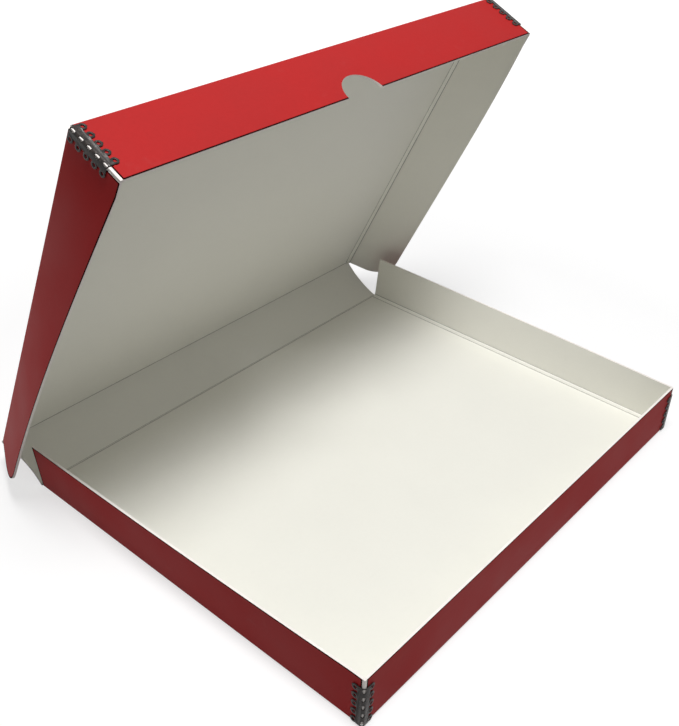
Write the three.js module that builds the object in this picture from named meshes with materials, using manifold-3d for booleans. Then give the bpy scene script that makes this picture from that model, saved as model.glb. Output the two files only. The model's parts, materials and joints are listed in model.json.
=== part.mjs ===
// Clamshell storage box: a shallow tray, a narrow spine and a deeper lid, die-cut and creased from one
// board blank, with stamped metal edges holding the four front corners. It is modelled open, with the
// lid leaning over the tray, as its creases hold it. Units are millimetres and degrees. X runs along
// the hinge, -Y is the front, +Z is up, and the origin is at the centre of the tray's underside.
import * as THREE from "three";
import { mergeVertices } from "three/addons/utils/BufferGeometryUtils.js";
import Module from "manifold-3d";

const wasm = await Module();
wasm.setup();

// Driving dimensions of the board
const boardThickness = 1.6;
const trayWidth = 368;
const trayDepth = 292;
const trayWallHeight = 38.5;

// Driving dimensions of the fit between the lid and the tray when the box is shut
const lidSideClearance = 2.2;
const lidFrontClearance = 2.0;
const lidHeadroom = 3.9;
const lidWallLift = 1.0;

// Creases: a bead of crushed board turns between the edges of the panels beside it
const creaseHeight = 1.0;
const creaseBeadRadius = 0.85;
const creaseBeadSink = 0.3;
const creaseGap = 0.3;
const wallSetback = 2.0;
const foldBead = 1.5;
const foldBeadSwell = 0.85;

// Outline details
const spineWaist = 2.3;
const lidWallCornerRadius = 24;
const thumbNotchRadius = 16;

// How far the side walls spring outwards at the hinge end, where nothing holds them
const traySplay = { left: 6.5, right: 7 };
const lidSplay = { left: 28, right: 31 };
const squareRun = 12;

// How the box stands open: 0 is a panel flat on the table and 90 is the box shut
const spineFold = 28;
const lidFold = 87;

// Metal edges: a strip bent round the corner, with a row of loops along each leg
const metalThickness = 0.45;
const metalGap = 0.3;
const metalBand = 4.0;
const loopPitch = 6.6;
const loopsPerLeg = 5;
const loopCentre = 5.8;
const loopRadius = 2.1;
const loopHoleRadius = 0.95;
const loopCrown = 0.3;
const cornerHoleRadius = 1.1;
const trayMetalStart = 1.2;
const lidMetalStart = 2.2;
const stripEndMargin = 2.2;

// Prongs under the loops, pressed into pockets pierced in the board
const prongWidth = 1.1;
const prongTipWidth = 0.4;
const prongThickness = 0.45;
const prongDepth = 0.95;
const pocketClearance = 0.3;

// How finely the round forms are divided
const foldFacets = 4;
const loftStations = 12;
const cornerStations = 7;
const beadSegments = 12;
const loopSegments = 10;
const notchSegments = 40;

// Sizes that follow from the ones above
const spineWidth = trayWallHeight + lidHeadroom - 2 * creaseHeight + boardThickness;
const lidWidth = trayWidth + 2 * (boardThickness + lidSideClearance);
const lidDepth = trayDepth + boardThickness + lidFrontClearance;
const lidWallHeight = spineWidth + 2 * creaseHeight - lidWallLift;
const creaseEdge = creaseBeadRadius + creaseGap;
const stripLength = (loopsPerLeg - 1) * loopPitch + 2 * stripEndMargin;

const degrees = THREE.MathUtils.degToRad;

const boardMaterial = new THREE.MeshStandardMaterial({ color: 0xa8312d, roughness: 0.62, metalness: 0 });
const metalMaterial = new THREE.MeshStandardMaterial({ color: 0x26231f, roughness: 0.36, metalness: 0.6 });

// Solids: closed meshes in and out of the boolean library

function toSolid(geometry, matrix = new THREE.Matrix4()) {
  let bare = geometry.clone();
  bare.deleteAttribute("normal");
  bare.deleteAttribute("uv");
  bare.applyMatrix4(matrix);
  bare = mergeVertices(bare, 1e-4);
  const mesh = new wasm.Mesh({
    numProp: 3,
    vertProperties: Float32Array.from(bare.attributes.position.array),
    triVerts: Uint32Array.from(bare.index.array),
  });
  return new wasm.Manifold(mesh);
}

function toGeometry(solid) {
  const mesh = solid.getMesh();
  const geometry = new THREE.BufferGeometry();
  geometry.setAttribute("position", new THREE.Float32BufferAttribute(mesh.vertProperties, 3));
  geometry.setIndex(Array.from(mesh.triVerts));
  const faceted = geometry.toNonIndexed();
  faceted.computeVertexNormals();
  return faceted;
}

function joinAll(solids) {
  return solids.reduce((whole, solid) => whole.add(solid));
}

function cutAll(solid, cutters) {
  return cutters.reduce((rest, cutter) => rest.subtract(cutter), solid);
}

function moved(x, y, z) {
  return new THREE.Matrix4().makeTranslation(x, y, z);
}

function boxSolid(low, high) {
  const size = high.clone().sub(low);
  const middle = low.clone().add(high).multiplyScalar(0.5);
  return toSolid(new THREE.BoxGeometry(size.x, size.y, size.z), moved(middle.x, middle.y, middle.z));
}

// Skins a row of rings that all have the same number of points, and caps both ends. Each ring lies
// square to Y and runs anticlockwise as seen looking along +Y, and the rings follow each other along +Y.
function loft(rings) {
  const count = rings[0].length;
  const index = [];
  for (let ring = 0; ring + 1 < rings.length; ring++) {
    for (let i = 0; i < count; i++) {
      const next = (i + 1) % count;
      const a = ring * count + i;
      const b = ring * count + next;
      const c = a + count;
      const d = b + count;
      index.push(a, d, b, a, c, d);
    }
  }
  const cap = (ring) => THREE.ShapeUtils.triangulateShape(ring.map((p) => new THREE.Vector2(p.x, p.z)), []);
  const last = (rings.length - 1) * count;
  cap(rings[0]).forEach(([a, b, c]) => index.push(a, b, c));
  cap(rings[rings.length - 1]).forEach(([a, b, c]) => index.push(last + a, last + c, last + b));
  const geometry = new THREE.BufferGeometry();
  const positions = rings.flat().flatMap((p) => [p.x, p.y, p.z]);
  geometry.setAttribute("position", new THREE.Float32BufferAttribute(positions, 3));
  geometry.setIndex(index);
  return geometry;
}

// Half a section through a panel and the wall folded up from it: from the underside, round the fold,
// up the outer face, over the rim, down the inner face and over the bead in the corner. The wall leans
// outwards by the splay, turning about the inner corner.
function wallProfile(halfWidth, wallHeight, splay) {
  const corner = new THREE.Vector2(halfWidth - boardThickness, boardThickness);
  const up = new THREE.Vector2(Math.sin(splay), Math.cos(splay));
  const out = new THREE.Vector2(Math.cos(splay), -Math.sin(splay));
  const inwards = new THREE.Vector2(-1, 0);
  const bead = inwards.clone().add(up).normalize().multiplyScalar(foldBead * foldBeadSwell);
  const rise = wallHeight - boardThickness;
  const points = [];
  for (let i = 0; i <= foldFacets; i++) {
    const angle = -Math.PI / 2 + ((Math.PI / 2 - splay) * i) / foldFacets;
    points.push(corner.clone().add(new THREE.Vector2(Math.cos(angle), Math.sin(angle)).multiplyScalar(boardThickness)));
  }
  points.push(corner.clone().addScaledVector(out, boardThickness).addScaledVector(up, rise));
  points.push(corner.clone().addScaledVector(up, rise));
  points.push(corner.clone().addScaledVector(up, foldBead));
  points.push(corner.clone().add(bead));
  points.push(corner.clone().addScaledVector(inwards, foldBead));
  return points;
}

// The side walls' height near the hinge, where their free corner is rounded off
function roundedWallHeight(fromHinge, wallHeight, cornerRadius) {
  const along = Math.min(Math.max(fromHinge - wallSetback, 0), cornerRadius);
  const short = cornerRadius - along;
  return wallHeight - cornerRadius + Math.sqrt(cornerRadius * cornerRadius - short * short);
}

// The side walls' lean: full at the hinge and none where the metal edge holds the corner square
function splayAt(fromHinge, fullSplay, depth) {
  const part = Math.min(fromHinge / (depth - squareRun), 1);
  return degrees(fullSplay) * (1 - part * part);
}

// The panel with its two side walls, lofted from the hinge edge to the front corners
function panelAndSides(half) {
  const stations = [creaseEdge];
  for (let i = 0; i < cornerStations && half.cornerRadius > 0; i++) {
    const turn = (Math.PI / 2) * (i / cornerStations);
    stations.push(wallSetback + half.cornerRadius * (1 - Math.cos(turn)));
  }
  const first = Math.max(wallSetback + half.cornerRadius, creaseEdge + 1);
  const last = half.depth - squareRun;
  for (let i = 0; i <= loftStations; i++) {
    stations.push(first + ((last - first) * i) / loftStations);
  }
  stations.push(half.depth - boardThickness);
  const rings = stations.map((y) => {
    const height = roundedWallHeight(y, half.wallHeight, half.cornerRadius);
    const right = wallProfile(half.width / 2, height, splayAt(y, half.splay.right, half.depth));
    const left = wallProfile(half.width / 2, height, splayAt(y, half.splay.left, half.depth));
    const mirrored = left.reverse().map((p) => new THREE.Vector2(-p.x, p.y));
    return right.concat(mirrored).map((p) => new THREE.Vector3(p.x, y, p.y - creaseHeight));
  });
  return toSolid(loft(rings));
}

// The front wall with its fold, reaching between the inner faces of the side walls
function frontWall(half) {
  const root = 3 * boardThickness;
  const points = wallProfile(half.depth, half.wallHeight, 0);
  points.push(new THREE.Vector2(half.depth - root, boardThickness));
  points.push(new THREE.Vector2(half.depth - root, 0));
  const length = half.width - 2 * boardThickness;
  const geometry = new THREE.ExtrudeGeometry(new THREE.Shape(points), { depth: length, bevelEnabled: false });
  const matrix = new THREE.Matrix4().makeBasis(
    new THREE.Vector3(0, 1, 0),
    new THREE.Vector3(0, 0, 1),
    new THREE.Vector3(1, 0, 0),
  );
  matrix.setPosition(-length / 2, 0, -creaseHeight);
  return toSolid(geometry, matrix);
}

// Relief cuts where the side walls' folds run out at the hinge
function hingeReliefs(half) {
  const reach = half.width;
  return [-1, 1].map((side) => {
    const inner = side * (half.width / 2 - boardThickness - foldBead);
    const outer = side * reach;
    const low = new THREE.Vector3(Math.min(inner, outer), 0, -half.wallHeight);
    const high = new THREE.Vector3(Math.max(inner, outer), wallSetback, 2 * half.wallHeight);
    return boxSolid(low, high);
  });
}

// The half-round thumb notch in the free edge of the front wall
function thumbNotch(half) {
  const length = 6 * boardThickness;
  const geometry = new THREE.CylinderGeometry(thumbNotchRadius, thumbNotchRadius, length, notchSegments);
  return toSolid(geometry, moved(0, half.depth - boardThickness / 2, half.wallHeight - creaseHeight));
}

// Places a metal edge's own frame on a front corner. side is -1 or +1 along the half's X.
function cornerMatrix(half, side) {
  const turn = side < 0 ? -Math.PI / 2 : Math.PI;
  const matrix = new THREE.Matrix4().makeRotationZ(turn);
  return matrix.setPosition(side * (half.width / 2), half.depth, half.metalStart - creaseHeight);
}

// One half of the box in its own frame: the crease is the X axis, the panel lies along +Y with its
// outer face down, and the walls stand up from it
function boardHalf(half) {
  const walls = panelAndSides(half).add(frontWall(half));
  const cutters = hingeReliefs(half);
  if (half.thumbNotch) {
    cutters.push(thumbNotch(half));
  }
  for (const side of [-1, 1]) {
    cutters.push(prongPockets(cornerMatrix(half, side)));
  }
  return toGeometry(cutAll(walls, cutters));
}

// The spine's board: a strip a little waisted at its ends, with a crease bead along each long edge
function spineBoard() {
  const edge = creaseBeadRadius - creaseBeadSink;
  const near = trayWidth / 2;
  const far = lidWidth / 2;
  const waist = (near + far) / 2 - 2 * spineWaist;
  const shape = new THREE.Shape();
  shape.moveTo(-near, edge);
  shape.lineTo(near, edge);
  shape.quadraticCurveTo(waist, spineWidth / 2, far, spineWidth - edge);
  shape.lineTo(-far, spineWidth - edge);
  shape.quadraticCurveTo(-waist, spineWidth / 2, -near, edge);
  const plate = new THREE.ExtrudeGeometry(shape, { depth: boardThickness, bevelEnabled: false, curveSegments: 10 });
  const bead = (halfLength, y) => {
    const rod = new THREE.CylinderGeometry(creaseBeadRadius, creaseBeadRadius, 2 * halfLength, beadSegments);
    return toSolid(rod, moved(0, y, 0).multiply(new THREE.Matrix4().makeRotationZ(Math.PI / 2)));
  };
  const solids = [toSolid(plate, moved(0, 0, -creaseHeight)), bead(near, 0), bead(far, spineWidth)];
  return toGeometry(joinAll(solids));
}

// The metal edges. In their own frame the corner stands along Z, one leg runs along +X with the board
// behind it at +Y, and the other leg runs along +Y with the board behind it at +X.

function stripSection() {
  const inner = boardThickness + metalGap;
  const outer = inner + metalThickness;
  const back = -metalGap;
  const face = back - metalThickness;
  const shape = new THREE.Shape();
  shape.moveTo(metalBand, face);
  shape.lineTo(metalBand, back);
  shape.lineTo(boardThickness, back);
  shape.absarc(boardThickness, boardThickness, inner, -Math.PI / 2, -Math.PI, true);
  shape.lineTo(back, metalBand);
  shape.lineTo(face, metalBand);
  shape.lineTo(face, boardThickness);
  shape.absarc(boardThickness, boardThickness, outer, Math.PI, Math.PI * 1.5, false);
  return shape;
}

// A loop: a raised ring, domed towards its middle like a rolled wire
function loopRing() {
  const crownRadius = (loopRadius + loopHoleRadius) / 2;
  const profile = [
    new THREE.Vector2(loopHoleRadius, 0),
    new THREE.Vector2(loopRadius, 0),
    new THREE.Vector2(loopRadius, metalThickness * 0.8),
    new THREE.Vector2(crownRadius, metalThickness + loopCrown),
    new THREE.Vector2(loopHoleRadius, metalThickness * 0.8),
    new THREE.Vector2(loopHoleRadius, 0),
  ];
  return new THREE.LatheGeometry(profile, loopSegments);
}

function loopHeights() {
  return Array.from({ length: loopsPerLeg }, (_, i) => stripEndMargin + i * loopPitch);
}

const prongPlace = loopCentre + loopRadius - prongThickness / 2;

// A prong: a tapered tooth bent back from the loop's tip, straight into the board
function prong(height) {
  const back = -metalGap - metalThickness / 2;
  const shape = new THREE.Shape();
  shape.moveTo(-prongWidth / 2, back);
  shape.lineTo(prongWidth / 2, back);
  shape.lineTo(prongTipWidth / 2, prongDepth);
  shape.lineTo(-prongTipWidth / 2, prongDepth);
  shape.closePath();
  const geometry = new THREE.ExtrudeGeometry(shape, { depth: prongThickness, bevelEnabled: false });
  const matrix = new THREE.Matrix4().makeBasis(
    new THREE.Vector3(0, 0, 1),
    new THREE.Vector3(0, 1, 0),
    new THREE.Vector3(-1, 0, 0),
  );
  matrix.setPosition(prongPlace + prongThickness / 2, 0, height);
  return toSolid(geometry, matrix);
}

// The second leg is the first one turned half round the corner's diagonal
function otherLeg() {
  const matrix = new THREE.Matrix4().makeBasis(
    new THREE.Vector3(0, 1, 0),
    new THREE.Vector3(1, 0, 0),
    new THREE.Vector3(0, 0, -1),
  );
  return matrix.setPosition(0, 0, stripLength);
}

function metalEdge() {
  const strip = new THREE.ExtrudeGeometry(stripSection(), {
    depth: stripLength,
    bevelEnabled: false,
    curveSegments: 6,
  });
  const ring = loopRing();
  const outwards = new THREE.Matrix4().makeRotationX(Math.PI);
  const legParts = loopHeights().flatMap((height) => [
    toSolid(ring, moved(loopCentre, -metalGap, height).multiply(outwards)),
    prong(height),
  ]);
  const leg = joinAll(legParts);
  const flip = toSolid(toGeometry(leg), otherLeg());
  const apex = boardThickness - (boardThickness + metalGap + metalThickness / 2) * Math.SQRT1_2;
  const drill = new THREE.CylinderGeometry(cornerHoleRadius, cornerHoleRadius, boardThickness * 2, beadSegments);
  const holes = loopHeights().map((height) =>
    toSolid(drill, moved(apex, apex, height).multiply(new THREE.Matrix4().makeRotationZ(-Math.PI / 4))),
  );
  return toGeometry(cutAll(joinAll([toSolid(strip), leg, flip]), holes));
}

// The pockets that the prongs pierce in the board, for a metal edge placed by the matrix
function prongPockets(matrix) {
  const pocket = new THREE.BoxGeometry(
    prongThickness + 2 * pocketClearance,
    prongDepth + pocketClearance + boardThickness,
    prongWidth + 2 * pocketClearance,
  );
  const middle = (prongDepth + pocketClearance - boardThickness) / 2;
  const legs = [new THREE.Matrix4(), otherLeg()];
  const cutters = legs.flatMap((leg) =>
    loopHeights().map((height) =>
      toSolid(pocket, matrix.clone().multiply(leg).multiply(moved(prongPlace, middle, height))),
    ),
  );
  return joinAll(cutters);
}

// Assembly

function addMesh(parent, name, geometry, material, matrix) {
  const mesh = new THREE.Mesh(geometry, material.clone());
  mesh.name = name;
  if (matrix) {
    mesh.applyMatrix4(matrix);
  }
  parent.add(mesh);
}

// Adds one half's board and its two metal edges. sides names what lies at -X and +X of the half's frame.
function addHalf(parent, name, half, sides) {
  addMesh(parent, `${name}_board`, boardHalf(half), boardMaterial);
  const edge = metalEdge();
  for (const side of [-1, 1]) {
    const label = side < 0 ? sides[0] : sides[1];
    addMesh(parent, `${name}_metal_edge_${label}`, edge, metalMaterial, cornerMatrix(half, side));
  }
}

const tray = {
  width: trayWidth,
  depth: trayDepth,
  wallHeight: trayWallHeight,
  cornerRadius: 0,
  splay: { left: traySplay.right, right: traySplay.left },
  thumbNotch: false,
  metalStart: trayMetalStart,
};

const lid = {
  width: lidWidth,
  depth: lidDepth,
  wallHeight: lidWallHeight,
  cornerRadius: lidWallCornerRadius,
  splay: lidSplay,
  thumbNotch: true,
  metalStart: lidMetalStart,
};

const box = new THREE.Group();

const trayGroup = new THREE.Group();
trayGroup.position.set(0, trayDepth / 2, creaseHeight);
trayGroup.rotation.z = Math.PI;
addHalf(trayGroup, "tray", tray, ["right", "left"]);
box.add(trayGroup);

const spineGroup = new THREE.Group();
spineGroup.position.set(0, trayDepth / 2, creaseHeight);
spineGroup.rotation.x = degrees(spineFold);
addMesh(spineGroup, "spine_board", spineBoard(), boardMaterial);
box.add(spineGroup);

const lidGroup = new THREE.Group();
lidGroup.position.set(0, spineWidth, 0);
lidGroup.rotation.x = degrees(lidFold);
addHalf(lidGroup, "lid", lid, ["left", "right"]);
spineGroup.add(lidGroup);

export default box;
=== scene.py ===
"""A clamshell storage box of creased board: a shallow tray, a narrow spine and a leaning lid.

Red paper covers the outside, white paper the inside, and stamped metal edges hold the front corners.
Everything is in metres. Each half of the box is modelled flat on its own crease, and then put in place.
"""

import json
import math

import bmesh
import bpy
from bpy.props import FloatProperty, FloatVectorProperty, IntProperty, PointerProperty
from mathutils import Matrix, Vector

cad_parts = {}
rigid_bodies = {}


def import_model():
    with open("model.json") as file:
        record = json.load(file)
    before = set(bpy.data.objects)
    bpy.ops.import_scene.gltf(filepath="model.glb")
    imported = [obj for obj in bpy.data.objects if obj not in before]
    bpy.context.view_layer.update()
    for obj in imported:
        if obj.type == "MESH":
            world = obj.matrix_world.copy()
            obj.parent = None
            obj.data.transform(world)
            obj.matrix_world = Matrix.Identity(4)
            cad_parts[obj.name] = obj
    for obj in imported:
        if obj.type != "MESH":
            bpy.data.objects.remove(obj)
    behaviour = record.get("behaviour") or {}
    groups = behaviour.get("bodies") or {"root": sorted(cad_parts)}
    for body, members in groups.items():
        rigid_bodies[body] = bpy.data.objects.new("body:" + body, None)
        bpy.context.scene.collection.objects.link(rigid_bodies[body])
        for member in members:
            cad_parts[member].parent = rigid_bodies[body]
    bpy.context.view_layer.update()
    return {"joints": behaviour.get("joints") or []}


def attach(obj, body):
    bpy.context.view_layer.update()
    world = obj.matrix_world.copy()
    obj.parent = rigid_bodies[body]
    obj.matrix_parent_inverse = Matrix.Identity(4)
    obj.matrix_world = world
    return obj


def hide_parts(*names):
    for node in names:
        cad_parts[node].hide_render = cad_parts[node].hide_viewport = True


bl_info = {
    "name": "Clamshell storage box",
    "version": (1, 0, 0),
    "blender": (4, 5, 0),
    "location": "3D View > Sidebar > Storage box",
    "description": "Models a creased board box with metal-edged corners around its frame",
    "category": "Object",
}

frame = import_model()

MM = 0.001
PHOTO_WIDTH = 679
PHOTO_HEIGHT = 726

# Where the hinges lie and how far they stand open
JOINTS = {joint["name"]: joint for joint in frame["joints"]}
SPINE_HINGE = Vector(JOINTS["spine_fold"]["pos_m"])
LID_HINGE = Vector(JOINTS["lid_fold"]["pos_m"])
SPINE_ANGLE = math.radians(-JOINTS["spine_fold"]["range_deg"][0])
LID_ANGLE = math.radians(-JOINTS["lid_fold"]["range_deg"][0])
CREASE_HEIGHT = SPINE_HINGE.z
TRAY_DEPTH = 2 * SPINE_HINGE.y
SPINE_WIDTH = (LID_HINGE - SPINE_HINGE).length

# Material places on every board piece; the fourth is white paper painted grey as the shadow beside the beads
RED, WHITE, CORE, CREASE_SHADOW, PRESSED = 0, 1, 2, 3, 4

# A bead is white where its faces turn less than this from its middle, and painted grey as shadow beside that,
# as a cosine
BEAD_CROWN = 0.95

# A face looks along an axis where its normal has more than this along it
FACING = 0.5

# How near a point has to be to count as on a line, in a fold's row, at a station or one with another
ON_LINE = MM / 10
IN_ROW = MM / 20
AT_STATION = MM / 50
ONE_POINT = MM / 100

# How far past an edge a point has to be to count as beyond it
PAST_EDGE = MM / 20

# Stations are told apart to this many digits of a metre
STATION_DIGITS = 6

# A wall that leans less than this stays as it is
LEAST_LEAN = math.radians(0.01)

# How far a fold's bead stops short of the fold's ends
BEAD_SHORT = MM / 5

# How far the notch's cutter reaches to each side of the wall's outer face, in thicknesses of board
NOTCH_REACH = 6

# Edges that turn by more than these are left sharp
BOARD_SHARP = math.radians(30)
METAL_SHARP = math.radians(40)

# How finely round, leaning and hollowed forms are divided
FOLD_STEPS = 5
CORNER_STEPS = 12
LEAN_STATIONS = 22
ROD_SIDES = 20
NOTCH_SIDES = 96
RING_TURNS = 28
RING_SIDES = 12
SPINE_STEPS = 16
BEND_STEPS = 10

# Rounding of the strip's cut edges
STRIP_EDGE = 0.08 * MM

# Grain of the paper, in noise cells per metre, and the height of its relief
CLOUD_GRAIN = 18
PULP_GRAIN = 420
FIBRE_GRAIN = 2400
SCUFF_GRAIN = 60
PAPER_RELIEF = 0.08 * MM

# How many times finer the grain is where the board is cut or pressed
CUT_GRAIN = 2.5

# Wear of the lacquer, in noise cells per metre, with its relief and what shows where it is thin or gone
BLOTCH_GRAIN = 500
WEAR_GRAIN = 900
DIMPLE_GRAIN = 1500
LACQUER_RELIEF = 0.05 * MM
THIN_LACQUER = (0.030, 0.022, 0.019)
BARE_METAL = (0.12, 0.10, 0.09)

# The stage: over FLOOR_REACH, in metres from the middle, the floor's glow rises through FLOOR_GLOW
FLOOR_SIZE = 12
FLOOR_REACH = (0.35, 0.9)
FLOOR_GLOW = (0.66, 1.0)
WORLD_LIGHT = 0.19
KEY_POWER = 14.2
KEY_SIZE = 0.4
KEY_PLACE = (-0.14, -0.2, 1.3)
KEY_TARGET = (0, -0.02, 0)

# The photo's camera: the centre is in pixels of the photo, from its top left
CAMERA_PLACE = (-0.4668, -0.3534, 0.4742)
CAMERA_TURN = (57.345, -1.921, -49.026)
CAMERA_LENS = 53.564
CAMERA_SENSOR = 36
CAMERA_CENTRE = (338.0, 340.3)
CAMERA_NEAR = 0.01


class BoxBoard(bpy.types.PropertyGroup):
    """Sizes of the board and its folds"""
    thickness: FloatProperty(
        name="Board thickness", description="Thickness of the board", default=1.6 * MM, unit="LENGTH")
    tray_width: FloatProperty(
        name="Tray width", description="Width outside the tray's side walls", default=0.368, unit="LENGTH")
    tray_wall: FloatProperty(
        name="Tray wall", description="Height of the tray's walls", default=38.5 * MM, unit="LENGTH")
    side_clearance: FloatProperty(
        name="Side clearance", description="Gap between the lid's and the tray's side walls when shut",
        default=2.2 * MM, unit="LENGTH")
    front_clearance: FloatProperty(
        name="Front clearance", description="Gap between the two front walls when shut",
        default=2.0 * MM, unit="LENGTH")
    lid_lift: FloatProperty(
        name="Lid lift", description="How far the shut lid's walls end above the table",
        default=1.0 * MM, unit="LENGTH")
    fold_radius: FloatProperty(
        name="Fold radius", description="Outer radius of the folds", default=1.85 * MM, unit="LENGTH")
    bead_width: FloatProperty(
        name="Fold bead width", description="Half the width of the crushed bead inside a fold",
        default=2.3 * MM, unit="LENGTH")
    bead_height: FloatProperty(
        name="Fold bead height", description="Half the height of the crushed bead inside a fold",
        default=1.0 * MM, unit="LENGTH")
    bead_rise: FloatProperty(
        name="Fold bead rise", description="How far the bead's middle stands out of the corner",
        default=1.0 * MM, unit="LENGTH")
    post_lap: FloatProperty(
        name="Corner lap", description="How far the bare corner reaches into the walls' ends",
        default=0.35 * MM, unit="LENGTH")
    post_inset: FloatProperty(
        name="Corner inset", description="How far the bare corner lies inside the walls' faces",
        default=0.12 * MM, unit="LENGTH")
    pressed_edge: FloatProperty(
        name="Pressed edge", description="Width of the darker line where the die cut the red paper",
        default=1.0 * MM, unit="LENGTH")
    crease_radius: FloatProperty(
        name="Crease bead", description="Radius of the bead that turns in a crease",
        default=0.85 * MM, unit="LENGTH")
    crease_edge: FloatProperty(
        name="Crease edge", description="Where a panel starts beside its crease",
        default=1.15 * MM, unit="LENGTH")
    wall_setback: FloatProperty(
        name="Wall setback", description="Where the side walls start beside the crease",
        default=2.0 * MM, unit="LENGTH")
    square_run: FloatProperty(
        name="Square run", description="Length of side wall that the corner holds upright",
        default=12 * MM, unit="LENGTH")
    lid_corner: FloatProperty(
        name="Lid wall corner", description="Radius of the lid walls' free corner",
        default=24 * MM, unit="LENGTH")
    notch_radius: FloatProperty(
        name="Thumb notch", description="Radius of the thumb notch", default=16 * MM, unit="LENGTH")
    spine_waist: FloatProperty(
        name="Spine waist", description="How far the spine's ends are hollowed",
        default=2.3 * MM, unit="LENGTH")
    tray_lean: FloatVectorProperty(
        name="Tray wall lean", description="Lean of the tray's left and right walls at the hinge", size=2,
        default=(math.radians(6.5), math.radians(7)), subtype="EULER")
    lid_lean: FloatVectorProperty(
        name="Lid wall lean", description="Lean of the lid's left and right walls at the hinge", size=2,
        default=(math.radians(28), math.radians(31)), subtype="EULER")


class BoxMetal(bpy.types.PropertyGroup):
    """Sizes of the metal edges"""
    thickness: FloatProperty(
        name="Strip thickness", description="Thickness of the strip", default=0.45 * MM, unit="LENGTH")
    gap: FloatProperty(
        name="Gap", description="Air between the strip and the board", default=0.3 * MM, unit="LENGTH")
    band: FloatProperty(
        name="Band", description="How far each leg reaches from the corner", default=4.3 * MM, unit="LENGTH")
    pitch: FloatProperty(
        name="Loop pitch", description="Distance between loops", default=6.6 * MM, unit="LENGTH")
    loops: IntProperty(name="Loops", description="Loops on each leg", default=5, min=1)
    loop_centre: FloatProperty(
        name="Loop centre", description="Distance of the loops from the corner",
        default=5.8 * MM, unit="LENGTH")
    loop_radius: FloatProperty(
        name="Loop radius", description="Outer radius of a loop", default=2.35 * MM, unit="LENGTH")
    loop_hole: FloatProperty(
        name="Loop hole", description="Radius of the hole in a loop", default=1.0 * MM, unit="LENGTH")
    loop_crown: FloatProperty(
        name="Loop crown", description="How far a loop rises above the strip",
        default=0.1 * MM, unit="LENGTH")
    slot_width: FloatProperty(
        name="Corner slot width", description="Width of the slots along the corner",
        default=2.2 * MM, unit="LENGTH")
    slot_length: FloatProperty(
        name="Corner slot length", description="Length of the slots along the corner",
        default=3.5 * MM, unit="LENGTH")
    end_margin: FloatProperty(
        name="End margin", description="From the first loop to the strip's end",
        default=2.2 * MM, unit="LENGTH")
    tray_start: FloatProperty(
        name="Tray strip start", description="Height of the strip above the tray's underside",
        default=1.2 * MM, unit="LENGTH")
    lid_start: FloatProperty(
        name="Lid strip start", description="Height of the strip above the lid's outer face",
        default=2.2 * MM, unit="LENGTH")
    prong_width: FloatProperty(
        name="Prong width", description="Width of a prong at its root", default=1.1 * MM, unit="LENGTH")
    prong_depth: FloatProperty(
        name="Prong depth", description="How deep a prong goes into the board",
        default=0.95 * MM, unit="LENGTH")


class BoxColours(bpy.types.PropertyGroup):
    """Colours of the papers, the board's core and the lacquer"""
    red: FloatVectorProperty(
        name="Red paper", description="Colour of the outer paper", subtype="COLOR", size=3,
        default=(0.37, 0.014, 0.014), min=0, max=1)
    white: FloatVectorProperty(
        name="White paper", description="Colour of the inner paper", subtype="COLOR", size=3,
        default=(0.84, 0.83, 0.765), min=0, max=1)
    core: FloatVectorProperty(
        name="Board core", description="Colour of the cut edge", subtype="COLOR", size=3,
        default=(0.93, 0.88, 0.84), min=0, max=1)
    lacquer: FloatVectorProperty(
        name="Lacquer", description="Colour of the lacquer on the metal", subtype="COLOR", size=3,
        default=(0.012, 0.010, 0.009), min=0, max=1)
    floor: FloatVectorProperty(
        name="Floor", description="Colour of the floor", subtype="COLOR", size=3,
        default=(0.38, 0.38, 0.38), min=0, max=1)


# Modelling helpers

def start_fresh():
    """Leaves edit mode and deselects everything, so that an operator acts only on what is picked."""
    if bpy.context.object and bpy.context.object.mode != "OBJECT":
        bpy.ops.object.mode_set(mode="OBJECT")
    for obj in bpy.context.view_layer.objects:
        obj.select_set(False)


def pick_object(obj, *others):
    start_fresh()
    for chosen in (obj, *others):
        chosen.select_set(True)
    bpy.context.view_layer.objects.active = obj


def new_object(name):
    obj = bpy.context.object
    obj.name = name
    obj.data.name = name
    return obj


def edit(obj, mode="EDGE"):
    pick_object(obj)
    bpy.ops.object.mode_set(mode="EDIT")
    bpy.ops.mesh.select_mode(type=mode)
    bpy.ops.mesh.select_all(action="DESELECT")


def end_edit():
    bpy.ops.object.mode_set(mode="OBJECT")


def pick_vertices(obj, test):
    """In edit mode, selects the vertices whose place passes the test."""
    mesh = bmesh.from_edit_mesh(obj.data)
    for vertex in mesh.verts:
        vertex.select = test(vertex.co)
    mesh.select_flush(True)
    bmesh.update_edit_mesh(obj.data)


def pick_edges(obj, test):
    """In edit mode, selects the edges whose two ends pass the test."""
    mesh = bmesh.from_edit_mesh(obj.data)
    for part in (*mesh.faces, *mesh.edges, *mesh.verts):
        part.select = False
    for edge in mesh.edges:
        if all(test(vertex.co) for vertex in edge.verts):
            edge.select = True
    mesh.select_flush_mode()
    bmesh.update_edit_mesh(obj.data)


def pull_out(x=0.0, y=0.0, z=0.0):
    """Extrudes what is selected."""
    bpy.ops.mesh.extrude_region_move(TRANSFORM_OT_translate={"value": (x, y, z)})


def turn_picked(angle, axis, centre):
    """Turns what is selected, anticlockwise as seen with the axis pointing at the viewer."""
    bpy.ops.transform.rotate(value=-angle, orient_axis=axis, orient_type="GLOBAL", center_override=centre)


def cut_across(place, normal):
    """Cuts an edge right through the sheet that is being edited."""
    bpy.ops.mesh.select_all(action="SELECT")
    bpy.ops.mesh.bisect(plane_co=place, plane_no=normal)


def apply_modifier(obj, kind, **settings):
    pick_object(obj)
    modifier = obj.modifiers.new(kind.title(), kind)
    for name, value in settings.items():
        setattr(modifier, name, value)
    bpy.ops.object.modifier_apply(modifier=modifier.name)


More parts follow.
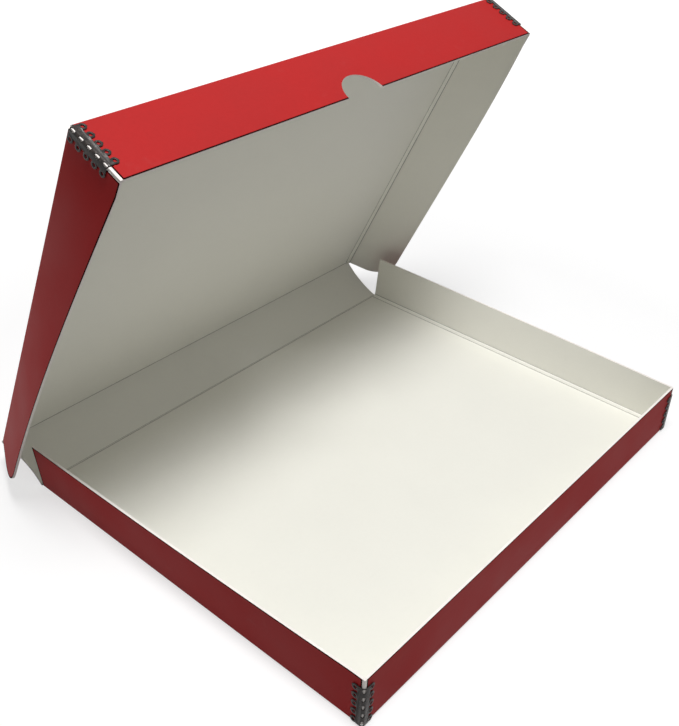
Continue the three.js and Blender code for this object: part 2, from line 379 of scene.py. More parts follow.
def combine(obj, other, operation):
    """Joins another object to this one, or cuts it out, and deletes the other."""
    apply_modifier(obj, "BOOLEAN", operation=operation, object=other, solver="EXACT")
    bpy.data.objects.remove(other)


def put_in_place(obj, matrix):
    """Applies a place to the mesh, so that the object itself stays at the origin."""
    pick_object(obj)
    obj.matrix_world = matrix @ obj.matrix_world
    bpy.ops.object.transform_apply(location=True, rotation=True, scale=True)


def smooth(obj, sharp):
    """Shades the object smooth, apart from the edges that turn by more than the angle."""
    pick_object(obj)
    bpy.ops.object.shade_smooth_by_angle(angle=sharp)


def give_materials(obj, *materials):
    obj.data.materials.clear()
    for material in materials:
        obj.data.materials.append(material)


def paint_all(obj, index):
    for polygon in obj.data.polygons:
        polygon.material_index = index


def rod(name, radius, start, end, sides=ROD_SIDES):
    """A round rod from one point to another."""
    start, end = Vector(start), Vector(end)
    start_fresh()
    bpy.ops.mesh.primitive_cylinder_add(vertices=sides, radius=radius, depth=(end - start).length)
    obj = new_object(name)
    turn = Vector((0, 0, 1)).rotation_difference(end - start).to_matrix().to_4x4()
    put_in_place(obj, Matrix.Translation((start + end) / 2) @ turn)
    return obj


# Materials

def socket(group, name, kind, direction="INPUT", default=None):
    made = group.interface.new_socket(name=name, in_out=direction, socket_type=f"NodeSocket{kind}")
    if default is not None:
        made.default_value = default
    return made


def node(tree, kind, **settings):
    made = tree.nodes.new(kind)
    for name, value in settings.items():
        setattr(made, name, value)
    return made


def noise(tree, vector, scale, detail=2.0, rough=0.5):
    made = node(tree, "ShaderNodeTexNoise")
    made.inputs["Scale"].default_value = scale
    made.inputs["Detail"].default_value = detail
    made.inputs["Roughness"].default_value = rough
    tree.links.new(vector, made.inputs["Vector"])
    return made.outputs["Fac"]


def ramp(tree, value, low, high, to_low=0.0, to_high=1.0):
    """Spreads the values from low to high over another range, and holds them at its ends outside that."""
    made = node(tree, "ShaderNodeMapRange", clamp=True)
    made.inputs["From Min"].default_value = low
    made.inputs["From Max"].default_value = high
    made.inputs["To Min"].default_value = to_low
    made.inputs["To Max"].default_value = to_high
    tree.links.new(value, made.inputs["Value"])
    return made.outputs["Result"]


def maths(tree, operation, first, second):
    made = node(tree, "ShaderNodeMath", operation=operation)
    for place, value in enumerate((first, second)):
        if isinstance(value, (int, float)):
            made.inputs[place].default_value = value
        else:
            tree.links.new(value, made.inputs[place])
    return made.outputs[0]


def mix_colour(tree, fac, first, second):
    made = node(tree, "ShaderNodeMix", data_type="RGBA")
    tree.links.new(fac, made.inputs["Factor"])
    for name, value in (("A", first), ("B", second)):
        place = [s for s in made.inputs if s.name == name and s.type == "RGBA"][0]
        if isinstance(value, (tuple, list)):
            place.default_value = (*value[:3], 1)
        else:
            tree.links.new(value, place)
    return [s for s in made.outputs if s.type == "RGBA"][0]


def paper_group():
    """Shader node group for paper over board: mottled colour, fibres in the surface and faint scuffs."""
    group = bpy.data.node_groups.new("Paper surface", "ShaderNodeTree")
    socket(group, "Vector", "Vector")
    socket(group, "Colour", "Color", default=(0.8, 0.8, 0.8, 1))
    socket(group, "Scuffed colour", "Color", default=(0.8, 0.8, 0.8, 1))
    socket(group, "Mottle", "Float", default=0.06)
    socket(group, "Scuffs", "Float", default=0.2)
    socket(group, "Roughness", "Float", default=0.6)
    socket(group, "Colour", "Color", "OUTPUT")
    socket(group, "Roughness", "Float", "OUTPUT")
    socket(group, "Height", "Float", "OUTPUT")
    into = node(group, "NodeGroupInput")
    out = node(group, "NodeGroupOutput")
    place = into.outputs["Vector"]
    clouds = noise(group, place, CLOUD_GRAIN, 3)
    pulp = noise(group, place, PULP_GRAIN, 4, 0.6)
    fibres = noise(group, place, FIBRE_GRAIN, 3, 0.6)
    scuffs = ramp(group, noise(group, place, SCUFF_GRAIN, 8, 0.72), 0.60, 0.72)
    scuffs = maths(group, "MULTIPLY", scuffs, into.outputs["Scuffs"])
    shade = maths(group, "ADD", maths(group, "MULTIPLY", clouds, 0.6), maths(group, "MULTIPLY", pulp, 0.4))
    shade = ramp(group, shade, 0.3, 0.7, -1, 1)
    shade = maths(group, "ADD", maths(group, "MULTIPLY", shade, into.outputs["Mottle"]), 1.0)
    tint = node(group, "ShaderNodeVectorMath", operation="SCALE")
    group.links.new(into.outputs["Colour"], tint.inputs[0])
    group.links.new(shade, tint.inputs["Scale"])
    colour = mix_colour(group, scuffs, tint.outputs[0], into.outputs["Scuffed colour"])
    rough = maths(group, "ADD", into.outputs["Roughness"], ramp(group, clouds, 0.3, 0.7, -0.05, 0.05))
    height = maths(group, "ADD", maths(group, "MULTIPLY", pulp, 0.55), maths(group, "MULTIPLY", fibres, 0.45))
    group.links.new(colour, out.inputs["Colour"])
    group.links.new(rough, out.inputs["Roughness"])
    group.links.new(height, out.inputs["Height"])
    return group


def paper_material(name, group, colour, scuffed, mottle, scuffs, rough, bump, shine, grain=1.0):
    """A paper surface laid over the mesh by its Object coordinates."""
    material = bpy.data.materials.new(name)
    material.use_nodes = True
    tree = material.node_tree
    shader = tree.nodes["Principled BSDF"]
    shader.inputs["Specular IOR Level"].default_value = shine
    place = node(tree, "ShaderNodeTexCoord")
    spread = node(tree, "ShaderNodeMapping")
    spread.inputs["Scale"].default_value = (grain, grain, grain)
    tree.links.new(place.outputs["Object"], spread.inputs["Vector"])
    surface = node(tree, "ShaderNodeGroup", node_tree=group)
    tree.links.new(spread.outputs["Vector"], surface.inputs["Vector"])
    surface.inputs["Colour"].default_value = (*colour, 1)
    surface.inputs["Scuffed colour"].default_value = (*scuffed, 1)
    surface.inputs["Mottle"].default_value = mottle
    surface.inputs["Scuffs"].default_value = scuffs
    surface.inputs["Roughness"].default_value = rough
    relief = node(tree, "ShaderNodeBump")
    relief.inputs["Strength"].default_value = bump
    relief.inputs["Distance"].default_value = PAPER_RELIEF
    tree.links.new(surface.outputs["Height"], relief.inputs["Height"])
    tree.links.new(surface.outputs["Colour"], shader.inputs["Base Color"])
    tree.links.new(surface.outputs["Roughness"], shader.inputs["Roughness"])
    tree.links.new(relief.outputs["Normal"], shader.inputs["Normal"])
    return material


def scaled(colour, factor, lift=0.0):
    return [factor * channel + lift for channel in colour]


def board_materials():
    """The two papers, the bare core, white paper painted grey as the beads' shadow and the pressed red line,
    made once, in their places' order.
    """
    names = ("Red paper", "White paper", "Board core", "Creased white edge", "Pressed red edge")
    if names[0] in bpy.data.materials:
        return [bpy.data.materials[name] for name in names]
    colours = bpy.context.scene.box_colours
    group = paper_group()
    red, white, core = tuple(colours.red), tuple(colours.white), tuple(colours.core)
    return [
        paper_material(names[RED], group, red, scaled(red, 0.8, 0.06),
                       mottle=0.07, scuffs=0.15, rough=0.62, bump=0.35, shine=0.14),
        paper_material(names[WHITE], group, white, scaled(white, 0.9),
                       mottle=0.015, scuffs=0.15, rough=0.55, bump=0.3, shine=0.35),
        paper_material(names[CORE], group, core, scaled(core, 0.85),
                       mottle=0.08, scuffs=0.3, rough=0.8, bump=0.8, shine=0.2, grain=CUT_GRAIN),
        # White paper darkened to 0.42 of its colour: painted shadow for the sides of the beads
        paper_material(names[CREASE_SHADOW], group, scaled(white, 0.42), white,
                       mottle=0.15, scuffs=0.3, rough=0.7, bump=0.5, shine=0.2, grain=CUT_GRAIN),
        paper_material(names[PRESSED], group, scaled(red, 0.04), red,
                       mottle=0.2, scuffs=0.25, rough=0.85, bump=0.5, shine=0.04, grain=CUT_GRAIN),
    ]


def lacquer_material():
    """Black lacquer on stamped steel, rubbed thin in places so that brown and bare metal show."""
    name = "Black lacquer"
    if name in bpy.data.materials:
        return bpy.data.materials[name]
    material = bpy.data.materials.new(name)
    material.use_nodes = True
    tree = material.node_tree
    shader = tree.nodes["Principled BSDF"]
    place = node(tree, "ShaderNodeTexCoord").outputs["Object"]
    black = tuple(bpy.context.scene.box_colours.lacquer)
    blotches = ramp(tree, noise(tree, place, BLOTCH_GRAIN, 3), 0.35, 0.7)
    worn = ramp(tree, noise(tree, place, WEAR_GRAIN, 6, 0.7), 0.58, 0.68)
    brown = mix_colour(tree, blotches, black, THIN_LACQUER)
    colour = mix_colour(tree, worn, brown, BARE_METAL)
    tree.links.new(colour, shader.inputs["Base Color"])
    tree.links.new(ramp(tree, worn, 0, 1, 0.0, 0.5), shader.inputs["Metallic"])
    tree.links.new(ramp(tree, blotches, 0, 1, 0.3, 0.5), shader.inputs["Roughness"])
    shader.inputs["Specular IOR Level"].default_value = 0.22
    relief = node(tree, "ShaderNodeBump")
    relief.inputs["Strength"].default_value = 0.25
    relief.inputs["Distance"].default_value = LACQUER_RELIEF
    tree.links.new(noise(tree, place, DIMPLE_GRAIN, 3), relief.inputs["Height"])
    tree.links.new(relief.outputs["Normal"], shader.inputs["Normal"])
    return material


# The two halves of the board

class Half:
    """Sizes and place of one half: its crease is the X axis and its panel lies along +Y, outer face down."""

    def __init__(self, width, depth, wall, corner, leans, notch, strip_start, matrix):
        self.width = width
        self.depth = depth
        self.wall = wall
        self.corner = corner
        self.leans = leans
        self.notch = notch
        self.strip_start = strip_start
        self.matrix = matrix


def spine_matrix():
    return Matrix.Translation(SPINE_HINGE) @ Matrix.Rotation(SPINE_ANGLE, 4, "X")


def tray_half():
    board, metal = bpy.context.scene.box_board, bpy.context.scene.box_metal
    left, right = board.tray_lean
    matrix = Matrix.Translation(SPINE_HINGE) @ Matrix.Rotation(math.pi, 4, "Z")
    return Half(board.tray_width, TRAY_DEPTH, board.tray_wall, 0, {-1: right, 1: left}, False,
                metal.tray_start, matrix)


def lid_half():
    board, metal = bpy.context.scene.box_board, bpy.context.scene.box_metal
    left, right = board.lid_lean
    width = board.tray_width + 2 * (board.thickness + board.side_clearance)
    depth = TRAY_DEPTH + board.thickness + board.front_clearance
    wall = SPINE_WIDTH + 2 * CREASE_HEIGHT - board.lid_lift
    matrix = spine_matrix() @ Matrix.Translation((0, SPINE_WIDTH, 0)) @ Matrix.Rotation(LID_ANGLE, 4, "X")
    return Half(width, depth, wall, board.lid_corner, {-1: left, 1: right}, True, metal.lid_start, matrix)


def fold_up_side(obj, half, side):
    """Folds a side wall up from the panel: a quarter turn about the fold, then straight up."""
    board = bpy.context.scene.box_board
    radius = board.fold_radius
    edge = side * (half.width / 2 - radius)
    pick_edges(obj, lambda co: abs(co.x - edge) < ON_LINE and co.y > board.wall_setback - ON_LINE
               and abs(co.z + CREASE_HEIGHT) < ON_LINE)
    bpy.ops.mesh.spin(steps=FOLD_STEPS, angle=math.pi / 2, center=(edge, 0, radius - CREASE_HEIGHT),
                      axis=(0, side, 0))
    pull_out(z=half.wall - radius)


def fold_up_front(obj, half):
    """Folds the front wall up from the panel's front edge."""
    radius = bpy.context.scene.box_board.fold_radius
    edge = half.depth - radius
    pick_edges(obj, lambda co: abs(co.y - edge) < ON_LINE and abs(co.z + CREASE_HEIGHT) < ON_LINE
               and abs(co.x) < half.width / 2 - radius + ON_LINE)
    bpy.ops.mesh.spin(steps=FOLD_STEPS, angle=math.pi / 2, center=(0, edge, radius - CREASE_HEIGHT),
                      axis=(-1, 0, 0))
    pull_out(z=half.wall - radius)


def round_free_corners(obj, half):
    """Rounds the side walls' free corners at the hinge end."""
    board = bpy.context.scene.box_board
    top = half.wall - CREASE_HEIGHT
    pick_vertices(obj, lambda co: abs(co.z - top) < ON_LINE and co.y < board.wall_setback + ON_LINE)
    bpy.ops.mesh.bevel(affect="VERTICES", offset=half.corner, segments=CORNER_STEPS)


def lean_stations(half):
    """Places along the side walls where they are cut across, so that they can lean smoothly."""
    board = bpy.context.scene.box_board
    first = board.wall_setback + half.corner
    last = half.depth - board.square_run
    stations = [first + (last - first) * i / LEAN_STATIONS for i in range(LEAN_STATIONS + 1)]
    if half.corner:
        for i in range(1, CORNER_STEPS):
            stations.append(board.wall_setback + half.corner * (1 - math.cos(math.pi / 2 * i / CORNER_STEPS)))
    return sorted(stations)


def lean_side(obj, half, side):
    """Leans a side wall outwards about its inner corner, most at the hinge and not at all at the front."""
    board = bpy.context.scene.box_board
    radius = board.fold_radius
    corner = Vector((side * (half.width / 2 - radius), 0, radius - CREASE_HEIGHT))
    mesh = bmesh.from_edit_mesh(obj.data)
    beyond = half.width / 2 - radius + PAST_EDGE
    places = sorted({round(v.co.y, STATION_DIGITS) for v in mesh.verts if side * v.co.x > beyond})
    for place in places:
        part = min(place / (half.depth - board.square_run), 1)
        lean = half.leans[side] * (1 - part * part)
        if lean < LEAST_LEAN:
            continue
        for step in range(1, FOLD_STEPS + 1):
            angle = math.pi / 2 * step / FOLD_STEPS
            low = corner.z - radius * math.cos(angle) - IN_ROW
            high = low + 2 * IN_ROW if step < FOLD_STEPS else math.inf
            pick_vertices(obj, lambda co: side * co.x > beyond and abs(co.y - place) < AT_STATION
                          and low < co.z < high)
            turn_picked(side * lean * step / FOLD_STEPS, "Y", corner)


def board_sheet(name, half):
    """The half's outer paper as a thin sheet: panel, folds and walls."""
    board = bpy.context.scene.box_board
    radius = board.fold_radius
    span = half.width - 2 * radius
    length = half.depth - radius - board.crease_edge
    start_fresh()
    bpy.ops.mesh.primitive_plane_add(size=1)
    obj = new_object(name)
    middle = board.crease_edge + length / 2
    put_in_place(obj, Matrix.Translation((0, middle, -CREASE_HEIGHT)) @ Matrix.Diagonal((span, length, 1, 1)))
    sheet_materials(obj)
    edit(obj)
    cut_across((0, board.wall_setback, 0), (0, 1, 0))
    for side in (-1, 1):
        fold_up_side(obj, half, side)
    fold_up_front(obj, half)
    if half.corner:
        round_free_corners(obj, half)
    press_edges(obj)
    for place in lean_stations(half):
        cut_across((0, place, 0), (0, 1, 0))
    for side in (-1, 1):
        lean_side(obj, half, side)
    bpy.ops.mesh.select_all(action="SELECT")
    bpy.ops.mesh.remove_doubles(threshold=ONE_POINT)
    end_edit()
    face_outwards(obj)
    return obj


def face_outwards(obj):
    """Turns the sheet's faces so that the panel's faces point down, away from the inside."""
    edit(obj, "FACE")
    bpy.ops.mesh.select_all(action="SELECT")
    bpy.ops.mesh.normals_make_consistent(inside=False)
    end_edit()
    panel = max(obj.data.polygons, key=lambda face: face.area)
    if panel.normal.z > 0:
        edit(obj, "FACE")
        bpy.ops.mesh.select_all(action="SELECT")
        bpy.ops.mesh.flip_normals()
        end_edit()


def bead_rod(board, start, end, inwards):
    """A crowned bead of crushed board in the corner of a fold, its flat side across the corner, white on its
    crown and painted grey as shadow on its sides.
    """
    start, end, inwards = Vector(start), Vector(end), Vector(inwards)
    along = (end - start).normalized()
    inwards.normalize()
    across = inwards.cross(along)
    start_fresh()
    bpy.ops.mesh.primitive_cylinder_add(vertices=ROD_SIDES, radius=1, depth=(end - start).length)
    obj = new_object("bead")
    shape = Matrix.Diagonal((board.bead_width, board.bead_height, 1, 1))
    turn = Matrix((across, inwards, along)).transposed().to_4x4()
    middle = (start + end) / 2 + inwards * board.bead_rise
    put_in_place(obj, Matrix.Translation(middle) @ turn @ shape)
    give_materials(obj, *board_materials())
    for polygon in obj.data.polygons:
        # Faces beside the crown get the painted shadow
        polygon.material_index = WHITE if polygon.normal.dot(inwards) > BEAD_CROWN else CREASE_SHADOW
    return obj


def fold_beads(half):
    """The crushed beads of board inside the three folds."""
    board = bpy.context.scene.box_board
    x = half.width / 2 - board.thickness
    y = half.depth - board.thickness
    z = board.thickness - CREASE_HEIGHT
    start = board.wall_setback + BEAD_SHORT
    end_x, end_y = x - BEAD_SHORT, y - BEAD_SHORT
    beads = [bead_rod(board, (side * x, start, z), (side * x, end_y, z), (-side, 0, 1)) for side in (-1, 1)]
    beads.append(bead_rod(board, (-end_x, y, z), (end_x, y, z), (0, -1, 1)))
    return beads


def corner_posts(half):
    """The bare ends of the walls where they meet at the front corners, under the metal edges."""
    board = bpy.context.scene.box_board
    inner, outer = board.thickness + board.post_lap, board.post_inset
    low, high = board.fold_radius - CREASE_HEIGHT, half.wall - CREASE_HEIGHT - board.post_inset
    posts = []
    for side in (-1, 1):
        start_fresh()
        bpy.ops.mesh.primitive_cube_add(size=1)
        post = new_object("post")
        inset = (inner + outer) / 2
        middle = (side * (half.width / 2 - inset), half.depth - inset, (low + high) / 2)
        shape = Matrix.Diagonal((inner - outer, inner - outer, high - low, 1))
        put_in_place(post, Matrix.Translation(middle) @ shape)
        apply_modifier(post, "BEVEL", width=board.post_lap, segments=2)
        give_materials(post, *board_materials())
        paint_all(post, CORE)
        posts.append(post)
    return posts


def sheet_materials(obj):
    """The board's materials, and after them the two that the pressed edge needs on its inside and rim."""
    materials = board_materials()
    give_materials(obj, *materials, *materials[WHITE:CORE + 1])


def press_edges(obj):
    """In edit mode, sets off a narrow strip along the sheet's outline, where the die pressed the paper."""
    bpy.ops.mesh.select_mode(type="FACE")
    bpy.ops.mesh.select_all(action="SELECT")
    bpy.ops.mesh.inset(thickness=bpy.context.scene.box_board.pressed_edge, depth=0, use_boundary=True,
                       use_even_offset=True)
    mesh = bmesh.from_edit_mesh(obj.data)
    for face in mesh.faces:
        face.material_index = RED if face.select else PRESSED
    bmesh.update_edit_mesh(obj.data)
    bpy.ops.mesh.select_mode(type="EDGE")


def thicken(obj):
    """Gives the sheet the board's thickness, with white paper inside and bare core round the edge."""
    apply_modifier(obj, "SOLIDIFY", thickness=bpy.context.scene.box_board.thickness, offset=-1,
                   use_even_offset=True, use_rim=True, material_offset=WHITE, material_offset_rim=CORE)
    for polygon in obj.data.polygons:
        if polygon.material_index > PRESSED:
            polygon.material_index -= PRESSED
    while len(obj.data.materials) > PRESSED + 1:
        obj.data.materials.pop()


def board_half(name, half):
    """One half of the box as a solid board with red, white and cut faces."""
    board = bpy.context.scene.box_board
    obj = board_sheet(name, half)
    thicken(obj)
    for part in (*fold_beads(half), *corner_posts(half)):
        combine(obj, part, "UNION")
    if half.notch:
        top = half.wall - CREASE_HEIGHT
        reach = NOTCH_REACH * board.thickness
        cutter = rod("notch", board.notch_radius, (0, half.depth - reach, top), (0, half.depth + reach, top),
                     NOTCH_SIDES)
        give_materials(cutter, *board_materials())
        paint_all(cutter, CORE)
        combine(obj, cutter, "DIFFERENCE")
    smooth(obj, BOARD_SHARP)
    put_in_place(obj, half.matrix)
    return obj


def finish_piece(obj, body, nodes):
    """Says which body the piece rides on and which solids it replaces."""
    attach(obj, body)
    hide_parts(*nodes)


class BOX_OT_tray_board(bpy.types.Operator):
    """Model the tray's board: its panel and three walls"""
    bl_idname = "box.tray_board"
    bl_label = "Tray board"

    def execute(self, context):
        board = board_half("tray", tray_half())
        finish_piece(board, "tray", ["tray_board"])
        return {"FINISHED"}


class BOX_OT_lid_board(bpy.types.Operator):
    """Model the lid's board: its panel, three walls and thumb notch"""
    bl_idname = "box.lid_board"
    bl_label = "Lid board"

    def execute(self, context):
        board = board_half("lid", lid_half())
        finish_piece(board, "lid", ["lid_board"])
        return {"FINISHED"}


def spine_sheet(near, far):
    """The spine's outer paper as a thin sheet with hollowed ends, given half its length at each crease."""
    board = bpy.context.scene.box_board
    edge = board.crease_radius / 2
    width = SPINE_WIDTH - 2 * edge
    start_fresh()
    bpy.ops.mesh.primitive_plane_add(size=1)
    obj = new_object("spine")
    middle = Matrix.Translation((0, SPINE_WIDTH / 2, -CREASE_HEIGHT))
    put_in_place(obj, middle @ Matrix.Diagonal((2 * near, width, 1, 1)))
    sheet_materials(obj)
    edit(obj)
    for i in range(1, SPINE_STEPS):
        cut_across((0, edge + width * i / SPINE_STEPS, 0), (0, 1, 0))
    rows = bmesh.from_edit_mesh(obj.data)
    for place in sorted({round(v.co.y, STATION_DIGITS) for v in rows.verts}):
        part = (place - edge) / width
        half_length = near + (far - near) * part - 4 * board.spine_waist * part * (1 - part)
        pick_vertices(obj, lambda co: abs(co.y - place) < AT_STATION)
        bpy.ops.transform.resize(value=(half_length / near, 1, 1),
                                 center_override=(0, place, -CREASE_HEIGHT))
    press_edges(obj)
    end_edit()
    face_outwards(obj)
    return obj


def crease_bead(place, reach):
    """The round bead in a crease: red outside, white inside with its sides painted grey as shadow, and bare
    at its ends.
    """
    bead = rod("bead", bpy.context.scene.box_board.crease_radius, (-reach, place, 0), (reach, place, 0))
    give_materials(bead, *board_materials())
    for polygon in bead.data.polygons:
        # The bead's inner side is painted grey as shadow, apart from its white crown
        polygon.material_index = CREASE_SHADOW if polygon.center.z > 0 else RED
        if polygon.normal.z > BEAD_CROWN:
            polygon.material_index = WHITE
        if abs(polygon.normal.x) > FACING:
            polygon.material_index = CORE
    return bead


class BOX_OT_spine_board(bpy.types.Operator):
    """Model the spine: a narrow board, hollowed at its ends, with a bead along each crease"""
    bl_idname = "box.spine_board"
    bl_label = "Spine board"

    def execute(self, context):
        near = context.scene.box_board.tray_width / 2
        far = lid_half().width / 2
        spine = spine_sheet(near, far)
        thicken(spine)
        for place, reach in ((0, near), (SPINE_WIDTH, far)):
            combine(spine, crease_bead(place, reach), "UNION")
        smooth(spine, BOARD_SHARP)
        put_in_place(spine, spine_matrix())
        finish_piece(spine, "spine", ["spine_board"])
        return {"FINISHED"}


# The metal edges. In their own frame the corner stands along Z, one leg runs along +X with the board
# behind it at +Y, and the other leg runs along +Y with the board behind it at +X.

def strip_length(metal):
    return (metal.loops - 1) * metal.pitch + 2 * metal.end_margin


def loop_heights(metal):
    return [metal.end_margin + i * metal.pitch for i in range(metal.loops)]


def bent_strip(board, metal):
    """The strip itself: a leg, a quarter turn round the board's corner, and the other leg."""
    length = strip_length(metal)
    turn = board.thickness
    start_fresh()
    bpy.ops.mesh.primitive_plane_add(size=1)
    strip = new_object("strip")
    width = metal.band - turn
    flat = Matrix.Rotation(math.pi / 2, 4, "X") @ Matrix.Diagonal((width, length, 1, 1))
    put_in_place(strip, Matrix.Translation((turn + width / 2, -metal.gap, length / 2)) @ flat)
    edit(strip)
    pick_edges(strip, lambda co: abs(co.x - turn) < AT_STATION)
    bpy.ops.mesh.spin(steps=BEND_STEPS, angle=math.pi / 2, center=(turn, turn, 0), axis=(0, 0, 1))
    pull_out(y=width)
    bpy.ops.mesh.select_all(action="SELECT")
    bpy.ops.mesh.normals_make_consistent(inside=False)
    end_edit()
    outer = max(strip.data.polygons, key=lambda face: face.area)
    outwards = outer.normal.y if abs(outer.normal.y) > FACING else outer.normal.x
    apply_modifier(strip, "SOLIDIFY", thickness=metal.thickness, offset=-1 if outwards > 0 else 1,
                   use_even_offset=True, use_rim=True)
    apply_modifier(strip, "BEVEL", width=STRIP_EDGE, segments=2, limit_method="ANGLE",
                   angle_limit=METAL_SHARP)
    return strip


def corner_slot(board, metal, height):
    """A round-ended cutter through the corner of the strip."""
    apex = board.thickness - (board.thickness + metal.gap + metal.thickness / 2) * math.sqrt(0.5)
    start_fresh()
    bpy.ops.mesh.primitive_cylinder_add(vertices=ROD_SIDES, radius=metal.slot_width / 2,
                                        depth=2 * board.thickness)
    slot = new_object("slot")
    stretch = (metal.slot_length - metal.slot_width) / 2
    edit(slot, "VERT")
    for way in (-1, 1):
        pick_vertices(slot, lambda co: way * co.y > PAST_EDGE)
        bpy.ops.transform.translate(value=(0, way * stretch, 0))
    end_edit()
    upright = Matrix.Rotation(math.pi / 2, 4, "X")
    put_in_place(slot, Matrix.Translation((apex, apex, height)) @ Matrix.Rotation(math.pi / 4, 4, "Z")
                 @ Matrix.Rotation(math.pi / 2, 4, "Z") @ upright)
    return slot


def wire_loop(metal, height):
    """A loop like a rolled wire, a little flattened."""
    ring = (metal.loop_radius + metal.loop_hole) / 2
    wire = (metal.loop_radius - metal.loop_hole) / 2
    rise = (metal.thickness + metal.loop_crown) / 2
    start_fresh()
    bpy.ops.mesh.primitive_torus_add(major_segments=RING_TURNS, minor_segments=RING_SIDES, major_radius=ring,
                                     minor_radius=wire)
    loop = new_object("loop")
    flat = Matrix.Rotation(math.pi / 2, 4, "X") @ Matrix.Diagonal((1, 1, rise / wire, 1))
    put_in_place(loop, Matrix.Translation((metal.loop_centre, -metal.gap - rise, height)) @ flat)
    return loop


def prong(metal, height):
    """A tapered tooth bent back from the loop's tip into the board."""
    root = metal.gap + metal.thickness / 2
    length = root + metal.prong_depth
    start_fresh()
    bpy.ops.mesh.primitive_cone_add(vertices=4, radius1=metal.prong_width / math.sqrt(2),
                                    radius2=metal.prong_width / 4, depth=length)
    tooth = new_object("prong")
    thinner = metal.thickness / metal.prong_width
    thin = Matrix.Diagonal((thinner, 1, 1, 1)) @ Matrix.Rotation(math.pi / 4, 4, "Z")
    tip = metal.loop_centre + metal.loop_radius - metal.thickness / 2
    put_in_place(tooth, Matrix.Translation((tip, (metal.prong_depth - root) / 2, height))
                 @ Matrix.Rotation(-math.pi / 2, 4, "X") @ thin)
    return tooth


def other_leg(metal):
    """Half a turn about the corner's diagonal, which puts one leg's parts on the other."""
    rows = ((0, 1, 0, 0), (1, 0, 0, 0), (0, 0, -1, strip_length(metal)), (0, 0, 0, 1))
    return Matrix(rows)


def metal_edge():
    """The finished metal edge in its own frame."""
    board, metal = bpy.context.scene.box_board, bpy.context.scene.box_metal
    strip = bent_strip(board, metal)
    for height in loop_heights(metal):
        combine(strip, corner_slot(board, metal, height), "DIFFERENCE")
    parts = []
    for height in loop_heights(metal):
        for leg in (Matrix.Identity(4), other_leg(metal)):
            for part in (wire_loop(metal, height), prong(metal, height)):
                put_in_place(part, leg)
                parts.append(part)
    for part in parts:
        combine(strip, part, "UNION")
    smooth(strip, METAL_SHARP)
    return strip


def corner_matrix(half, side):
    """Where a metal edge's own frame stands on one of a half's front corners."""
    turn = -math.pi / 2 if side < 0 else math.pi
    place = (side * half.width / 2, half.depth, half.strip_start - CREASE_HEIGHT)
    return half.matrix @ Matrix.Translation(place) @ Matrix.Rotation(turn, 4, "Z")


class BOX_OT_metal_edges(bpy.types.Operator):
    """Model one metal edge and set a copy on each front corner"""
    bl_idname = "box.metal_edges"
    bl_label = "Metal edges"

    def execute(self, context):
        pattern = metal_edge()
        for body, half, labels in (
            ("tray", tray_half(), {-1: "right", 1: "left"}),
            ("lid", lid_half(), {-1: "left", 1: "right"}),
        ):
            for side, label in labels.items():
                edge = pattern.copy()
                edge.data = pattern.data.copy()
                context.scene.collection.objects.link(edge)
                edge.name = f"{body}_edge_{label}"
                give_materials(edge, lacquer_material())
                put_in_place(edge, corner_matrix(half, side))
                finish_piece(edge, body, [f"{body}_metal_edge_{label}"])
        bpy.data.objects.remove(pattern)
        return {"FINISHED"}


# The stage

def seen_ray(tree):
    """1 for rays that look straight at a surface, in a mirror or through glass."""
    path = node(tree, "ShaderNodeLightPath")
    seen = maths(tree, "MAXIMUM", path.outputs["Is Camera Ray"], path.outputs["Is Glossy Ray"])
    return maths(tree, "MAXIMUM", seen, path.outputs["Is Transmission Ray"])


def floor_material():
    """Pale floor that keeps the shadow and reads as white where it is lit."""
    material = bpy.data.materials.new("Pale floor")
    material.use_nodes = True
    tree = material.node_tree
    shader = tree.nodes["Principled BSDF"]
    shader.inputs["Base Color"].default_value = (*bpy.context.scene.box_colours.floor, 1)
    shader.inputs["Roughness"].default_value = 0.9
    shader.inputs["Specular IOR Level"].default_value = 0.1
    spread = node(tree, "ShaderNodeVectorMath", operation="LENGTH")
    tree.links.new(node(tree, "ShaderNodeTexCoord").outputs["Object"], spread.inputs[0])
    glow = ramp(tree, spread.outputs["Value"], *FLOOR_REACH, *FLOOR_GLOW)
    glow = maths(tree, "MULTIPLY", seen_ray(tree), glow)
    shader.inputs["Emission Color"].default_value = (1, 1, 1, 1)
    tree.links.new(glow, shader.inputs["Emission Strength"])
    return material


def look_from(place, target):
    """A place and turn that looks at the target."""
    turn = (Vector(target) - Vector(place)).to_track_quat("-Z", "Y").to_matrix().to_4x4()
    return Matrix.Translation(place) @ turn


def lay_floor():
    start_fresh()
    bpy.ops.mesh.primitive_plane_add(size=FLOOR_SIZE)
    floor = new_object("floor")
    give_materials(floor, floor_material())


def light_world(scene):
    """A world that shows as white and lights the box weakly."""
    world = bpy.data.worlds.new("Soft white")
    world.use_nodes = True
    scene.world = world
    tree = world.node_tree
    back = tree.nodes["Background"]
    back.inputs["Color"].default_value = (1, 1, 1, 1)
    seen = maths(tree, "MULTIPLY", seen_ray(tree), 1 - WORLD_LIGHT)
    tree.links.new(maths(tree, "ADD", seen, WORLD_LIGHT), back.inputs["Strength"])


def hang_lamp(scene):
    lamp = bpy.data.lights.new("soft_box", "AREA")
    lamp.energy = KEY_POWER
    lamp.size = KEY_SIZE
    light = bpy.data.objects.new("soft_box", lamp)
    light.matrix_world = look_from(KEY_PLACE, KEY_TARGET)
    scene.collection.objects.link(light)


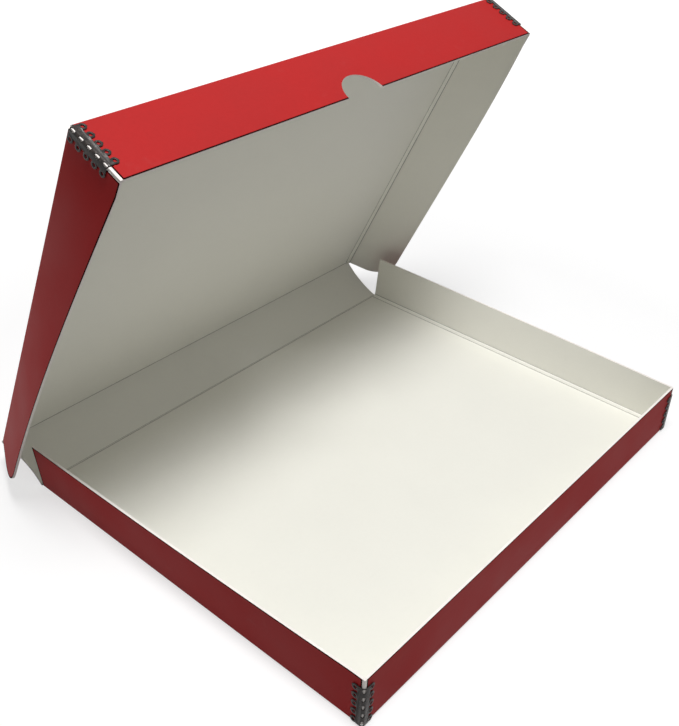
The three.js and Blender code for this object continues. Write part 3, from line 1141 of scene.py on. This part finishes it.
def set_camera(scene):
    """The camera that was fitted to the photo, shifted so that its axis meets the frame at CAMERA_CENTRE."""
    lens = bpy.data.cameras.new("camera")
    lens.sensor_fit = "HORIZONTAL"
    lens.sensor_width = CAMERA_SENSOR
    lens.lens = CAMERA_LENS
    lens.clip_start = CAMERA_NEAR
    lens.shift_x = (PHOTO_WIDTH / 2 - CAMERA_CENTRE[0]) / PHOTO_WIDTH
    lens.shift_y = (CAMERA_CENTRE[1] - PHOTO_HEIGHT / 2) / PHOTO_WIDTH
    camera = bpy.data.objects.new("camera", lens)
    camera.location = CAMERA_PLACE
    camera.rotation_euler = [math.radians(angle) for angle in CAMERA_TURN]
    scene.collection.objects.link(camera)
    scene.camera = camera


class BOX_OT_stage(bpy.types.Operator):
    """Lay the pale floor, hang the soft light and set the camera"""
    bl_idname = "box.stage"
    bl_label = "Stage"

    def execute(self, context):
        lay_floor()
        light_world(context.scene)
        hang_lamp(context.scene)
        set_camera(context.scene)
        context.scene.view_settings.view_transform = "Standard"
        return {"FINISHED"}


class BOX_PT_panel(bpy.types.Panel):
    """Buttons and sizes of the storage box"""
    bl_idname = "BOX_PT_panel"
    bl_label = "Storage box"
    bl_space_type = "VIEW_3D"
    bl_region_type = "UI"
    bl_category = "Storage box"

    def draw(self, context):
        for operator in OPERATORS:
            self.layout.operator(operator.bl_idname)
        for group in (context.scene.box_board, context.scene.box_metal, context.scene.box_colours):
            column = self.layout.column()
            for name in group.__annotations__:
                column.prop(group, name)


OPERATORS = (BOX_OT_tray_board, BOX_OT_spine_board, BOX_OT_lid_board, BOX_OT_metal_edges, BOX_OT_stage)
CLASSES = (BoxBoard, BoxMetal, BoxColours, *OPERATORS, BOX_PT_panel)


def register():
    for cls in CLASSES:
        bpy.utils.register_class(cls)
    bpy.types.Scene.box_board = PointerProperty(type=BoxBoard)
    bpy.types.Scene.box_metal = PointerProperty(type=BoxMetal)
    bpy.types.Scene.box_colours = PointerProperty(type=BoxColours)


def unregister():
    del bpy.types.Scene.box_board
    del bpy.types.Scene.box_metal
    del bpy.types.Scene.box_colours
    for cls in reversed(CLASSES):
        bpy.utils.unregister_class(cls)


def main():
    register()
    bpy.ops.box.tray_board()
    bpy.ops.box.spine_board()
    bpy.ops.box.lid_board()
    bpy.ops.box.metal_edges()
    bpy.ops.box.stage()


if __name__ == "__main__":
    main()
